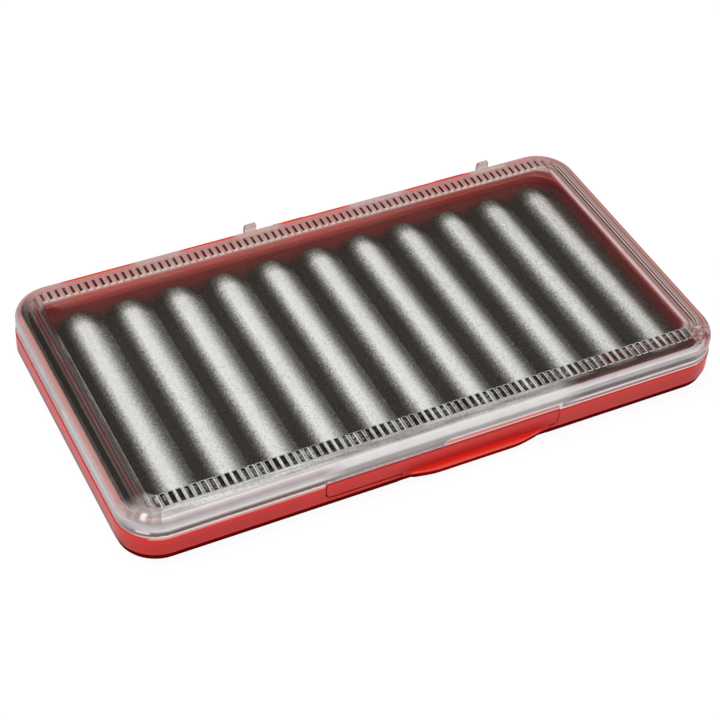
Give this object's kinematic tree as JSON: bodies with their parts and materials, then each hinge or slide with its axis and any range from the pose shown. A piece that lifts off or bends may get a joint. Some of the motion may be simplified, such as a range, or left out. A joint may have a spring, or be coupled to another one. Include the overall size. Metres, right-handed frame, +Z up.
{
  "type": "fly box",
  "caption": "Slim fishing fly box with a coloured tray, a clear hinged lid, a front press latch and a ridged foam pad that holds the hooks.",
  "frame": {"origin": "on the table under the middle of the closed box with its hinge and latch lip", "axes": "+X along the box's width, +Y from the latch to the hinge, +Z up through the lid"},
  "size_m": [0.186, 0.1066, 0.0162],
  "materials": {
    "red_plastic": "satin moulded plastic",
    "clear_plastic": "polished clear plastic",
    "pin_steel": "drawn wire",
    "foam": "matt closed-cell foam",
    "adhesive": "double-sided adhesive film"
  },
  "bodies": {
    "tray": {"base_tray": "red_plastic", "hinge_pin_left": "pin_steel", "hinge_pin_right": "pin_steel", "latch_pin": "pin_steel", "ripple_foam_pad": "foam", "foam_adhesive_sheet": "adhesive"},
    "lid": {"lid": "clear_plastic"},
    "latch": {"latch": "red_plastic"}
  },
  "joints": [
    {"name": "lid_hinge", "type": "hinge", "parent": "tray", "child": "lid", "pos_m": [0, 0.05087, 0.0088], "axis": [-1, 0, 0], "range_deg": [0, 180]},
    {"name": "latch_pivot", "type": "hinge", "parent": "tray", "child": "latch", "pos_m": [0, -0.05033, 0.0051], "axis": [1, 0, 0], "range_deg": [0, 7]}
  ]
}
